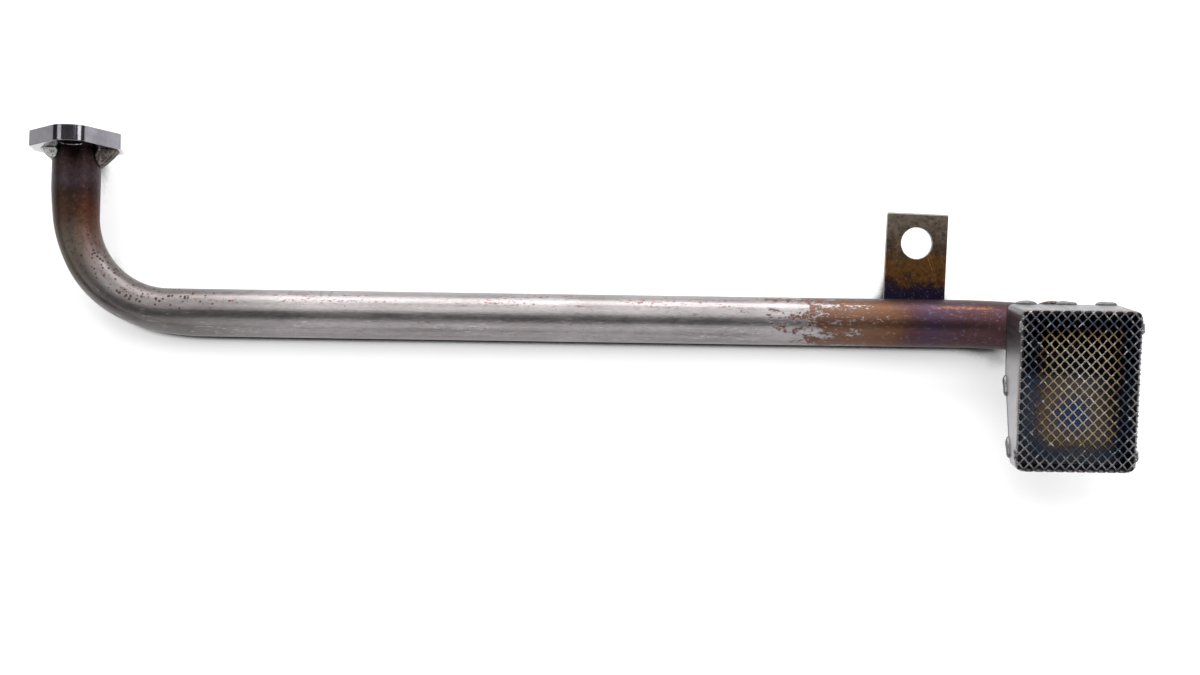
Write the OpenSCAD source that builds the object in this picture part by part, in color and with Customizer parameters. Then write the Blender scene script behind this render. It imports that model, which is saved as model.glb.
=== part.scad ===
// Engine oil pickup: a bent suction tube with a two-bolt pump flange at one end,
// a support tab welded along its run and a wedge-shaped strainer box at the other end.
// It lies on a table as it comes to rest: on the underside of the straight run and on
// the lower ear of the flange. +X follows the run, +Y points to the flange side, +Z is up.
// The origin is the middle of the mouth, on the outer face of the pump flange.

/* [Tube] */
// Outside diameter of the tube
tube_od = 19.05; // [16:0.05:25.4]
// Wall of the tube
tube_wall = 1.65; // [1.2:0.05:2.4]
// Centreline radius of both bends
bend_r = 38.1; // [32:0.1:45]
// Flange face to the axis of the run
leg_len = 70.7; // [62:0.1:95]
// Axis of the leg to the start of the second bend
run_len = 352.3; // [250:0.1:450]
// Lean of the second bend and of the strainer box about the run
bend2_roll = 24; // [20:0.5:28]

/* [Pump flange] */
// Thickness of the flange plate
flange_t = 6.35; // [5:0.05:9]
// Width across the two straight sides
flange_w = 35.1; // [31:0.1:44]
// Length of each straight side
flange_side = 13.8; // [8:0.1:18]
// Distance between the two bolt holes
bolt_spacing = 38; // [36:0.1:46]
// Diameter of the bolt holes
bolt_hole_d = 8.7; // [6.5:0.1:9.5]
// Radius of the rounded ear round each bolt hole
ear_r = 8.1; // [7:0.1:10]
// Turn of the bolt line about the leg
flange_clock = 10; // [-20:1:20]
// Depth of the tube's end below the flange face
mouth_recess = 1; // [0.4:0.1:2]

/* [Support tab] */
// Middle of the tab to the start of the second bend
tab_back = 16; // [14:0.1:80]
// Width of the tab
tab_w = 24.3; // [20:0.1:28]
// Thickness of the tab
tab_t = 3.2; // [2.4:0.1:4.5]
// Tube axis to the free end of the tab
tab_top = 44.3; // [41:0.1:60]
// Tube axis to the middle of the stud hole
tab_hole_at = 32; // [28:0.1:34]
// Diameter of the stud hole
tab_hole_d = 12.7; // [9:0.1:14]
// Front face of the tab, measured below the tube axis
tab_drop = 4.5; // [3:0.1:5.2]
// Slope of the tab's plane above the table
tab_roll = 18.8; // [14:0.1:24]
// Lean of the tab along the run
tab_lean = 1.7; // [0:0.1:4]

/* [Strainer box] */
// Width of the box, along the run
strainer_w = 45.4; // [42:0.1:60]
// Length of the box, across the run
strainer_l = 61.2; // [54:0.1:80]
// Depth of the box at its deep edge, beside the tube
depth_deep = 24.4; // [23:0.1:27]
// Depth of the box at the fold of its back plate
depth_knee = 22.7; // [20:0.1:24]
// Depth of the box at its shallow edge
depth_shallow = 9; // [6:0.1:14]
// Deep edge to the fold of the back plate
knee_at = 26.4; // [24:0.1:34]
// Sheet of the box
sheet_t = 1.5; // [1:0.1:2]
// Outside radius of the corners of the box
corner_r = 3; // [2.6:0.1:6]
// Tube axis to the deep edge, in the plane of the screen
strainer_edge = 10.4; // [10:0.1:14]
// Height of the screen above the tube axis
screen_rise = 45.5; // [44:0.1:47]

/* [Screen] */
// Thickness of the expanded sheet
screen_t = 1; // [0.6:0.1:1.6]
// Pitch of the diamonds along the run
mesh_x = 3.9; // [3.4:0.1:6]
// Pitch of the diamonds across the run
mesh_y = 3.95; // [3.4:0.05:6]
// Width of a strand
strand_w = 0.95; // [0.7:0.05:1.3]
// Plain rim left round the diamonds
screen_rim = 1.2; // [0.8:0.1:3]

/* [Welds] */
// Leg of the small fillet between tube and flange
fillet_small = 4.5; // [2.5:0.1:5.5]
// Leg of the large fillet between tube and flange
fillet_large = 7; // [4:0.1:7.4]
// Part of the tube's round that the small fillet covers
sweep_small = 66; // [40:1:90]
// Part of the tube's round that the large fillet covers
sweep_large = 76; // [40:1:100]
// Turn of the small fillet's middle about the leg, from the side away from the run
turn_small = 24; // [0:1:40]
// Turn of the large fillet's middle about the leg, from the side of the run
turn_large = 9; // [0:1:30]
// Leg of the fillet behind the tab
fillet_tab = 3.2; // [2:0.1:4]
// Leg of the ring weld where the tube enters the box
fillet_collar = 2; // [1.2:0.1:2.6]
// Length of a stitch along the back seam of the box
stitch_l = 8.5; // [5:0.1:12]
// Height of a stitch above the sheet
stitch_h = 1.3; // [0.8:0.1:2]
// Length of a tack at the rim of the screen
tack_l = 4.6; // [3:0.1:7]
// Height of a tack above the sheet
tack_h = 0.9; // [0.6:0.1:1.4]
// Clearance between welded round faces
weld_gap = 0.05; // [0.02:0.01:0.15]

/* [Hidden] */
$fn = 96;

tube_r = tube_od / 2;
tube_id = tube_od - 2 * tube_wall;
leg_seat = leg_len - flange_t;
// The ear touches the table: its lowest point is ear_drop from the leg's axis.
ear_drop = bolt_spacing / 2 * cos(flange_clock) + ear_r;
leg_rise = atan2(ear_drop, leg_seat) - asin(tube_r / norm([ear_drop, leg_seat]));
mouth = [0, leg_len * cos(leg_rise), tube_r + leg_len * sin(leg_rise)];

// Tangent from a side corner of the flange to the circle of an ear.
corner_reach = norm([flange_w, bolt_spacing - flange_side]) / 2;
tangent_turn = atan2(bolt_spacing - flange_side, flange_w) + asin(ear_r / corner_reach);
tangent_at = [ear_r * sin(tangent_turn), bolt_spacing / 2 + ear_r * cos(tangent_turn)];

// The tab keeps its place beside the second bend, and the middle of the box lies where
// that bend would turn square to the run.
tab_x = run_len - tab_back;
strainer_x = run_len + bend_r - strainer_w / 2;

// Planes of the box in the strainer's own frame, as heights over the tube axis.
screen_seat = screen_rise - screen_t;
deep_at = [strainer_edge, screen_rise - depth_deep];
knee = [strainer_edge - knee_at, screen_rise - depth_knee];
shallow_at = [strainer_edge - strainer_l, screen_rise - depth_shallow];
slope_deep = (deep_at.y - knee.y) / (deep_at.x - knee.x);
slope_shallow = (knee.y - shallow_at.y) / (knee.x - shallow_at.x);
// Room past the box and past the tube for the solids that trim them.
spare = 20;
// Two corners well in front of the screen, which close such a trimming solid.
over_screen = [
    [shallow_at.x - spare, screen_rise + spare],
    [deep_at.x + spare, screen_rise + spare],
];
// Sweep of the second bend before the back plate trims it.
bend2_sweep = 85;
// The end of the tube is drawn this much thinner, so that it fuses with the run
// at any turn of its plane.
draw_step = 0.05;
// Stretch of the run that the thinner end reaches back into.
draw_lap = 4;

function stretch(slope) = sqrt(1 + slope * slope);

// Points of the back plate's face at a distance below its inner face, from beyond
// one end to beyond the other.
function back_line(below) =
    let (s1 = stretch(slope_deep), s2 = stretch(slope_shallow))
    let (fold = below == 0 ? 0 : below * (s1 - s2) / (slope_deep - slope_shallow))
    let (fold_z = slope_deep * fold - below * s1)
    let (far_deep = knee_at + spare, far_shallow = strainer_l - knee_at + spare)
    [
        knee + [far_deep, slope_deep * far_deep - below * s1],
        knee + [fold, fold_z],
        knee + [-far_shallow, -slope_shallow * far_shallow - below * s2],
    ];

// Frames

module on_table() translate(-mouth) children();

module from_corner() on_table() translate([0, 0, tube_r]) children();

// Along the leg: Z runs up the leg to the flange, X stays along the run.
module leg_frame() from_corner() rotate([leg_rise - 90, 0, 0]) children();

// In the plane of the tab: Y runs out along the tab, Z is its normal.
module tab_frame()
    from_corner() translate([tab_x, 0, 0]) rotate([tab_roll, 0, 0])
        rotate([0, 0, -tab_lean]) children();

// Square to the second bend: X along the run, Y across it, Z is the screen's normal.
module strainer_frame()
    from_corner() translate([strainer_x, 0, 0]) rotate([bend2_roll, 0, 0]) children();

// Extrudes a profile drawn in Y and Z along X.
module along_x(length) rotate([90, 0, 90]) linear_extrude(length) children();

// Tube

module ring(r_out, r_in) difference() {
    circle(r_out);
    if (r_in > 0) circle(r_in);
}

// The second bend, with a short straight lead that reaches back into the run.
module tube_end(r_out, r_in) from_corner() translate([run_len, 0, 0]) rotate([bend2_roll, 0, 0]) {
    translate([0, 0, bend_r]) rotate([90, 0, 0]) rotate([0, 0, -90])
        rotate_extrude(angle = bend2_sweep) translate([bend_r, 0]) ring(r_out, r_in);
    rotate([0, -90, 0]) linear_extrude(draw_lap) ring(r_out, r_in);
}

// The leg, the first bend and the run, all in the plane of the leg.
module tube_run(r_out, r_in) from_corner() rotate([leg_rise, 0, 0]) {
    translate([0, bend_r, 0]) rotate([-90, 0, 0])
        linear_extrude(leg_len - mouth_recess - bend_r) ring(r_out, r_in);
    translate([bend_r, bend_r, 0]) rotate([0, 0, 180])
        rotate_extrude(angle = 90) translate([bend_r, 0]) ring(r_out, r_in);
    translate([bend_r, 0, 0]) rotate([0, 90, 0]) linear_extrude(run_len - bend_r) ring(r_out, r_in);
}

// The space in front of the back plate, which trims the tube and the band.
module before_back() strainer_frame() translate([-spare, 0, 0])
    along_x(strainer_w + 2 * spare) polygon(concat(back_line(0), over_screen));

module suction_tube() color("slategray") difference() {
    union() {
        tube_run(tube_r, tube_id / 2);
        tube_end(tube_r - draw_step, tube_id / 2 + draw_step);
    }
    before_back();
}

// Pump flange

module flange_outline() {
    polygon([for (s = [[1, 1], [-1, -1]]) each [
        [s.x * flange_w / 2, s.y * flange_side / 2],
        [s.x * tangent_at.x, s.y * tangent_at.y],
        [-s.x * tangent_at.x, s.y * tangent_at.y],
        [-s.x * flange_w / 2, s.y * flange_side / 2],
    ]]);
    for (s = [-1, 1]) translate([0, s * bolt_spacing / 2]) circle(ear_r);
}

module pump_flange() color("silver")
    leg_frame() translate([0, 0, leg_seat]) rotate([0, 0, flange_clock]) difference() {
        linear_extrude(flange_t) flange_outline();
        translate([0, 0, -spare]) cylinder(r = tube_r + weld_gap, h = flange_t + 2 * spare);
        for (s = [-1, 1]) translate([0, s * bolt_spacing / 2, -spare])
            cylinder(d = bolt_hole_d, h = flange_t + 2 * spare);
    }

// A fillet round part of the leg, against the inner face of the flange.
module flange_fillet(leg, middle, sweep)
    leg_frame() translate([0, 0, leg_seat]) rotate([0, 0, middle - sweep / 2])
        rotate_extrude(angle = sweep) translate([tube_r + weld_gap, 0])
            polygon([[0, 0], [leg, 0], [0, -leg]]);

module flange_weld_left() color("gainsboro") flange_fillet(fillet_small, 180 + turn_small, sweep_small);

module flange_weld_right() color("gainsboro") flange_fillet(fillet_large, turn_large, sweep_large);

// Support tab

// The stretch of the tube under the tab, as a solid rod.
module tab_tube(r) from_corner() translate([tab_x - tab_w, 0, 0])
    rotate([0, 90, 0]) cylinder(r = r, h = 2 * tab_w);

module mounting_tab() color("dimgray") difference() {
    tab_frame() translate([0, 0, -tab_drop - tab_t]) linear_extrude(tab_t) difference() {
        translate([-tab_w / 2, 0]) square([tab_w, tab_top]);
        translate([0, tab_hole_at]) circle(d = tab_hole_d);
    }
    tab_tube(tube_r + weld_gap);
}

// The fillet lies behind the tab: along its back face and round the tube below it.
module tab_weld() color("saddlebrown") difference() {
    foot = sqrt(tube_r * tube_r - pow(tab_drop + tab_t, 2));
    turn = atan2(tab_drop + tab_t, foot) + fillet_tab / tube_r * 180 / PI;
    tab_frame() translate([-tab_w / 2 + fillet_tab, 0, 0]) along_x(tab_w - 2 * fillet_tab) polygon([
        [foot + fillet_tab, -tab_drop - tab_t],
        [foot - tab_t, -tab_drop - tab_t],
        [tube_r * cos(turn), -tube_r * sin(turn)],
    ]);
    tab_tube(tube_r + weld_gap);
}

// Strainer box

module rounded(w, l, r) {
    translate([r, 0]) square([w - 2 * r, l]);
    translate([0, r]) square([w, l - 2 * r]);
    for (x = [r, w - r], y = [r, l - r]) translate([x, y]) circle(r);
}

// Outline of the box, shrunk by an inset, in the strainer's frame.
module box_outline(inset) translate([inset, shallow_at.x + inset])
    rounded(strainer_w - 2 * inset, strainer_l - 2 * inset, corner_r - inset);

module strainer_band() color("gray") intersection() {
    strainer_frame() linear_extrude(screen_seat) difference() {
        box_outline(0);
        box_outline(sheet_t);
    }
    before_back();
}

module strainer_back() color("darkgray") difference() {
    strainer_frame() intersection() {
        linear_extrude(screen_seat) box_outline(0);
        translate([-spare, 0, 0]) along_x(strainer_w + 2 * spare)
            polygon(concat(back_line(0), [for (i = [2:-1:0]) back_line(sheet_t)[i]]));
    }
    tube_end(tube_r + weld_gap, 0);
}

module collar_weld() color("dimgray") difference() {
    intersection() {
        tube_end(tube_r + fillet_collar, 0);
        strainer_frame() translate([-spare, 0, 0]) along_x(strainer_w + 2 * spare) polygon([
            back_line(sheet_t)[0],
            back_line(sheet_t)[1],
            back_line(sheet_t + fillet_collar)[1],
            back_line(sheet_t + fillet_collar)[0],
        ]);
    }
    tube_end(tube_r + weld_gap, 0);
}

// Screen

module diamond(w, l) polygon([[w / 2, 0], [0, l / 2], [-w / 2, 0], [0, -l / 2]]);

module screen() color("tan") strainer_frame() translate([0, 0, screen_seat]) {
    // A strand takes half its width from each side of the cell it borders.
    cell = norm([mesh_x, mesh_y]);
    hole = [mesh_x - strand_w * cell / mesh_y, mesh_y - strand_w * cell / mesh_x];
    reach = [strainer_w - hole.x, strainer_l - hole.y] / 2 - [screen_rim, screen_rim];
    columns = floor(reach.x / mesh_x * 2);
    rows = floor(reach.y / mesh_y * 2);
    difference() {
        linear_extrude(screen_t) box_outline(0);
        translate([strainer_w / 2, strainer_edge - strainer_l / 2, -screen_t])
            linear_extrude(3 * screen_t)
                for (i = [-columns:columns], j = [-rows:rows]) if ((i + j) % 2 == 0)
                    translate([i * mesh_x / 2, j * mesh_y / 2]) diamond(hole.x, hole.y);
    }
}

// Welds of the box

// A rod of weld metal with tapered, blunt ends, lying along X.
module bead(length, height) {
    taper = 1.5 * height;
    blunt = height / 3;
    rotate([0, 90, 0]) rotate_extrude() polygon([
        [0, -length / 2],
        [blunt, -length / 2],
        [height, taper - length / 2],
        [height, length / 2 - taper],
        [blunt, length / 2],
        [0, length / 2],
    ]);
}

// Everything the box takes up, so that a bead only lies on its outside.
module box_solid() strainer_frame() intersection() {
    linear_extrude(screen_rise) box_outline(0);
    translate([-spare, 0, 0]) along_x(strainer_w + 2 * spare)
        polygon(concat(back_line(sheet_t), over_screen));
}

module stitch_welds() color("gray") difference() {
    // Half a stitch, clear of a rounded corner.
    clear = corner_r + stitch_l / 2;
    strainer_frame() {
        // along the deep edge
        for (x = [clear, strainer_w / 2, strainer_w - clear])
            translate([x, deep_at.x, deep_at.y]) bead(stitch_l, stitch_h);
        // along both sides, close to the fold and close to the shallow edge
        for (x = [0, strainer_w], past = [0.6 * stitch_l, strainer_l - knee_at - clear])
            translate([x, knee.x - past, knee.y - slope_shallow * past])
                rotate([atan(slope_shallow), 0, 0]) rotate([0, 0, 90]) bead(stitch_l, stitch_h);
        // along the shallow edge
        for (x = [0.3, 0.7] * strainer_w)
            translate([x, shallow_at.x, shallow_at.y]) bead(stitch_l, stitch_h);
    }
    box_solid();
}

module screen_tacks() color("gainsboro") difference() {
    // Middle of a tack, clear of a rounded corner.
    clear = corner_r + 0.75 * tack_l;
    strainer_frame() translate([0, 0, screen_seat]) {
        for (x = [0, strainer_w], y = [deep_at.x - clear, shallow_at.x + clear])
            translate([x, y, 0]) rotate([0, 0, 90]) bead(tack_l, tack_h);
    }
    box_solid();
}

pump_flange();
suction_tube();
mounting_tab();
strainer_band();
strainer_back();
screen();
flange_weld_left();
flange_weld_right();
tab_weld();
collar_weld();
stitch_welds();
screen_tacks();
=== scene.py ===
# %% [markdown]
# # An oil pickup tube, from plain solids to a finished picture
# An engine's oil pump draws its oil through this part. A bent steel tube has a
# two-bolt flange at the pump's end and a strainer box in the sump, closed by a
# screen of expanded metal. The solids come in already sized and placed. This
# lesson gives each piece a finer surface in the same place, then its finish,
# and last the light and the camera.

import bmesh
import bpy
import numpy as np
from mathutils import Matrix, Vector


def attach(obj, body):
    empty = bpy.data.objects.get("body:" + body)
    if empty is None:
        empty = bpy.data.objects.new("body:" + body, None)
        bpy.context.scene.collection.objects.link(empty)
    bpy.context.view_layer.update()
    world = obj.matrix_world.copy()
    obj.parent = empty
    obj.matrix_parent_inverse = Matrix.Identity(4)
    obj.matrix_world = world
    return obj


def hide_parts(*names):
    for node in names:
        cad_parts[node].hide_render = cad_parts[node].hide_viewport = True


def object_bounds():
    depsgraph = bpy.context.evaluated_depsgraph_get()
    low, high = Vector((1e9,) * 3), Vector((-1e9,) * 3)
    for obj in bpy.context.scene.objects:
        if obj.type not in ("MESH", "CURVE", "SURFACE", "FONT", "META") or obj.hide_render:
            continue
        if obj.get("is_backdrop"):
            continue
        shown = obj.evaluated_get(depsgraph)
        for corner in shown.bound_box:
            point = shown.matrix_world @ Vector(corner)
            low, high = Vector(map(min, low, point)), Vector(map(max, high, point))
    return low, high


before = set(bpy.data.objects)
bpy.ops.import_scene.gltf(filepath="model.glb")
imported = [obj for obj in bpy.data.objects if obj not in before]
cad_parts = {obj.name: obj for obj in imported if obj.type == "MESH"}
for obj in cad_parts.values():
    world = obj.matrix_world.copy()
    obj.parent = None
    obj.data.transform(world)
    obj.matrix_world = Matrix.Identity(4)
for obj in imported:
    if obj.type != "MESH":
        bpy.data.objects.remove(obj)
cad_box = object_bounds()
print("solids:", len(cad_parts))

# %% [markdown]
# ## Sizes and places
# The finer surfaces have to sit exactly where the solids are, so they are worked
# out from the same sizes. Five places carry them: the plane of leg and run, the
# leg, the second bend, the tab and the box. Each place is a turn and a shift. In a
# place's own axes every formula is short, and the turn comes once, at the end.

# %% Sizes in millimetres and degrees
# tube: radii, how bending draws the elbow's outer wall in, lengths, second bend's turn
TUBE_R, WALL = 9.525, 1.65
BORE_R = TUBE_R - WALL
BEND_R = 38.1
DRAW_IN = 2.5
DRAW_LEAD = 13.0
LEG = 70.7
RUN = 352.3
MOUTH_RECESS = 1.0
BEND2_ROLL = 24.0
# flange: plate, bolts, ears, turn about the leg, and any plate's clearance round the tube
FLANGE_T = 6.35
FLANGE_W = 35.1
FLANGE_SIDE = 13.8
FLANGE_EDGE = 0.35
BOLTS = 38.0
BOLT_D = 8.7
EAR_R = 8.1
CLOCK = 10.0
CLEARANCE = 0.05
# tab: place on the run, plate, hole, drop below the tube's axis, turns
TAB_X = 336.3
TAB_W = 24.3
TAB_T = 3.2
TAB_EDGE = 0.25
TAB_FOOT = 5.0
TAB_TOP = 44.3
TAB_HOLE = 32.0
TAB_HOLE_D = 12.7
TAB_DROP = 4.5
TAB_LEAN, TAB_SKEW = 18.8, -1.7
# box: outline, depths at the deep edge, the fold and the far edge, sheet, screen
BOX_W = 45.4
BOX_L = 61.2
BOX_EDGE = 10.4
KNEE_AT = 26.4
DEPTHS = 24.4, 22.7, 9.0
SHEET = 1.5
CORNER_R = 3.0
SCREEN_RISE = 45.5
SCREEN_T = 1.0
# short welds: length and radius of a stitch and of a tack
STITCH, STITCH_R = 8.5, 1.25
TACK, TACK_R = 4.6, 0.85
KNEE = np.array([BOX_EDGE - KNEE_AT, SCREEN_RISE - DEPTHS[1]])
DEEP_SLOPE = (DEPTHS[1] - DEPTHS[0]) / KNEE_AT
SHALLOW_SLOPE = (DEPTHS[2] - DEPTHS[1]) / (BOX_L - KNEE_AT)
print("box", BOX_W, "by", BOX_L, "mm, slopes", round(DEEP_SLOPE, 3), round(SHALLOW_SLOPE, 3))


# %% Places
def turn(axis, degrees):
    """Matrix of a right-handed turn about one axis, 0 for X, 1 for Y and 2 for Z."""
    return np.array(Matrix.Rotation(np.radians(degrees), 3, "XYZ"[axis]))


class Place:
    """A turn and a shift that carry points from a place's own axes to the part's."""

    def __init__(self, turned, shift):
        self.turned = turned
        self.shift = np.asarray(shift, float)

    def __call__(self, points):
        return points @ self.turned.T + self.shift

    def aim(self, directions):
        """The same turn for directions, which have no place."""
        return directions @ self.turned.T


ear_drop = BOLTS / 2 * np.cos(np.radians(CLOCK)) + EAR_R
leg_seat = LEG - FLANGE_T
rise = np.arctan2(ear_drop, leg_seat) - np.arcsin(TUBE_R / np.hypot(ear_drop, leg_seat))
RISE = np.degrees(rise)
mouth = np.array([0, LEG * np.cos(rise), TUBE_R + LEG * np.sin(rise)])
CORNER = np.array([0, 0, TUBE_R]) - mouth
TABLE = -mouth[2]

leg_plane = Place(turn(0, RISE), CORNER)
leg_place = Place(turn(0, RISE - 90), CORNER)
bend2_place = Place(turn(0, BEND2_ROLL), CORNER + [RUN, 0, 0])
tab_place = Place(turn(0, TAB_LEAN) @ turn(2, TAB_SKEW), CORNER + [TAB_X, 0, 0])
box_place = Place(turn(0, BEND2_ROLL), CORNER + [RUN + BEND_R - BOX_W / 2, 0, 0])
print("leg rises", round(RISE, 3), "degrees, table at", round(TABLE, 3), "mm")

# %% [markdown]
# ## From a grid of points to a mesh
# Nearly every surface here is a grid: rows run one way over the surface, columns
# the other, and neighbours are joined by four-sided faces. One helper does this
# for all of them. Each row closes on itself, as a ring does, and the last row may
# join the first. A row that shrinks to one point is a pole, so doubles are merged.
# The sign of the enclosed volume tells whether the faces point outwards.


# %% Mesh helpers
def add_piece(mesh, node, sharp=None):
    """Links a mesh as the piece that stands for one solid and rides with the part."""
    piece = bpy.data.objects.new(node.replace("_", "-"), mesh)
    bpy.context.collection.objects.link(piece)
    mesh.shade_smooth()
    if sharp:
        mesh.set_sharp_from_angle(angle=np.radians(sharp))
    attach(piece, "root")
    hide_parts(node)
    return piece


def keep_lay(mesh, own):
    """Keeps each point's place in the piece's own axes, for the finishes to read."""
    mesh.attributes.new("lay", "FLOAT_VECTOR", "POINT").data.foreach_set("vector", own.astype("f4").ravel())


def grid_mesh(name, points, wrap_rows=False, lay=None):
    """One mesh from grids of points in mm, shaped (grids, rows, columns, 3).

    Each face joins a point to the next one along its row, the next row and back.
    The array lay has the same shape.
    """
    index = np.arange(points[..., 0].size).reshape(points.shape[:3])
    after = np.roll(index, -1, axis=1)
    if not wrap_rows:
        index, after = index[:, :-1], after[:, :-1]
    right, after_right = np.roll(index, -1, axis=2), np.roll(after, -1, axis=2)
    quads = np.stack([index, right, after_right, after], axis=-1).reshape(-1, 4)
    flat = points.reshape(-1, 3)
    p, q, r, s = (flat[quads[:, k]] - flat.mean(0) for k in range(4))
    volume = np.sum(p * np.cross(q, r)) + np.sum(p * np.cross(r, s))
    if volume < 0:
        quads = quads[:, ::-1]
    mesh = bpy.data.meshes.new(name)
    mesh.from_pydata(flat / 1000, [], quads)
    keep_lay(mesh, points if lay is None else lay)
    merge(mesh)
    print(f"{name}: {len(mesh.vertices)} points, {abs(volume) / 6:.0f} cubic mm")
    return mesh


def grid_piece(name, place, lay, node, sharp=None, wrap_rows=False):
    """A piece from one grid of points, or several, in the axes of its place."""
    lay = lay if lay.ndim == 4 else lay[None]
    return add_piece(grid_mesh(name, place(lay), wrap_rows, lay=lay), node, sharp)


def merge(mesh, outward=False):
    """Merges doubles, drops faces that shrank to nothing and can turn all faces outwards."""
    work = bmesh.new()
    work.from_mesh(mesh)
    bmesh.ops.remove_doubles(work, verts=work.verts, dist=1e-7)
    bmesh.ops.dissolve_degenerate(work, edges=work.edges, dist=1e-8)
    if outward:
        bmesh.ops.recalc_face_normals(work, faces=work.faces)
    work.to_mesh(mesh)
    work.free()


# %% [markdown]
# ## The suction tube
# The real tube is drawn steel, bent twice on the same former. A circle carried
# along the axis gives it: down the leg, round the elbow, along the run and up the
# second bend. The last ring isn't square, because the tube ends flush with the
# sloping back of the box. There each line along the tube is a circle arc, and the
# angle where the arc meets the plate has an exact formula. Bending flattens a tube,
# so the outer wall of the elbow is drawn in a little. Beside its place, each point
# keeps where it would be on the straight, unbent tube. Grain, rust and heat colours
# read that, so they follow the bends.

# %% Tube axis and rings
around = np.linspace(0, 2 * np.pi, 112, endpoint=False)


def plate_plane(below):
    """Normal and offset of the deep half of the back plate, some mm below its inner face."""
    normal = np.array([0, -DEEP_SLOPE, 1]) / np.hypot(1, DEEP_SLOPE)
    point = np.array([0, *KNEE]) - below * normal
    normal, point = box_place.aim(normal), box_place(point)
    return bend2_place.turned.T @ normal, normal @ (point - bend2_place.shift)


def bend2(r, share, below):
    """Rings on the second bend, from its start to the back plate.

    A line at angle t round the tube lies on an arc of radius (bend radius less
    r sin t). The plane's equation on that arc is A sin(x) - B cos(x) = w, which
    is solved by the arc sine. A ring takes the same share of every line's arc.
    """
    angle = around - np.radians(BEND2_ROLL)
    across, arc_r = r * np.cos(angle), BEND_R - r * np.sin(angle)
    normal, offset = plate_plane(below)
    w = (offset - normal[1] * across - normal[2] * BEND_R) / arc_r
    end = np.arctan2(normal[2], normal[0]) + np.arcsin(w / np.hypot(normal[0], normal[2]))
    x = np.multiply.outer(share, end)
    local = np.stack([arc_r * np.sin(x), across + 0 * x, BEND_R - arc_r * np.cos(x)], axis=-1)
    return bend2_place(local), BEND_R * x


def tube_rings(r):
    """Rings of one radius over the whole tube, and where they lie on the straight tube.

    On the leg plane a ring's point is its centre plus r cos t towards the inside
    of the elbow plus r sin t along the plane's normal. Bending draws the outer
    wall in, by DRAW_IN half way round, and smoothly less towards both ends of the
    elbow and DRAW_LEAD past them.
    """
    y = np.linspace(LEG - MOUTH_RECESS, BEND_R, 14)[:-1]
    bend = np.linspace(0, np.pi / 2, 60)
    x = np.linspace(BEND_R, RUN, 120)[1:-1]
    centre = np.concatenate([
        np.stack([0 * y, y], axis=-1),
        BEND_R - BEND_R * np.stack([np.cos(bend), np.sin(bend)], axis=-1),
        np.stack([x, 0 * x], axis=-1),
    ])
    inside = np.concatenate([
        np.tile([1.0, 0.0], (len(y), 1)),
        np.stack([np.cos(bend), np.sin(bend)], axis=-1),
        np.tile([0.0, 1.0], (len(x), 1)),
    ])
    angle = around - rise
    elbow_at, elbow = y[0] - BEND_R, BEND_R * np.pi / 2
    length = np.concatenate([y[0] - y, elbow_at + BEND_R * bend, elbow_at + elbow + x - BEND_R])
    share = (length - elbow_at + DRAW_LEAD) / (elbow + 2 * DRAW_LEAD)
    ease = 0.35
    rising = np.clip(np.minimum(share, 1 - share) / ease, 0, 1)
    drawn = DRAW_IN * rising**2 * (3 - 2 * rising)
    reach = r * np.cos(angle) + drawn[:, None] * np.clip(-np.cos(angle), 0, 1) ** 2
    flat = centre[:, None] + reach[..., None] * inside[:, None]
    up = np.broadcast_to(r * np.sin(angle), flat.shape[:2])
    first = leg_plane(np.concatenate([flat, up[..., None]], axis=-1))
    last, arc = bend2(r, np.linspace(0, 1, 36), 0)
    bend2_at = elbow_at + elbow + RUN - BEND_R
    along = np.concatenate([np.broadcast_to(length[:, None], up.shape), bend2_at + arc])
    side = np.broadcast_to(np.stack([np.cos(around), np.sin(around)], axis=-1) * r, (*along.shape, 2))
    return np.concatenate([first, last]), np.concatenate([along[..., None], side], axis=-1)


outer, outer_lay = tube_rings(TUBE_R)
inner, inner_lay = tube_rings(BORE_R)
tube = add_piece(
    grid_mesh("suction tube", np.concatenate([outer, inner[::-1]])[None], wrap_rows=True,
              lay=np.concatenate([outer_lay, inner_lay[::-1]])[None]),
    "suction_tube", sharp=50)
print("tube length", round(float(outer_lay[..., 0].max()), 1), "mm")

# %% [markdown]
# ## Flange and tab
# Both are cut from plate. A flat curve with holes is the quickest way to draw
# them: the outline is one loop, each hole another, and the curve's own thickness
# and rounded edge give the plate the slightly broken edges of a real blank. The
# curve becomes a mesh first and is then moved to its place. The tab's foot is
# laid on the tube by pulling its lowest points onto the tube's circle. A small
# angle for sharp edges keeps the flat faces flat in the reflections.


# %% Plates
def circle(x, y, r, count=96):
    """Points round a circle."""
    t = np.linspace(0, 2 * np.pi, count, endpoint=False)
    return np.stack([x + r * np.cos(t), y + r * np.sin(t)], axis=-1)


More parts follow.
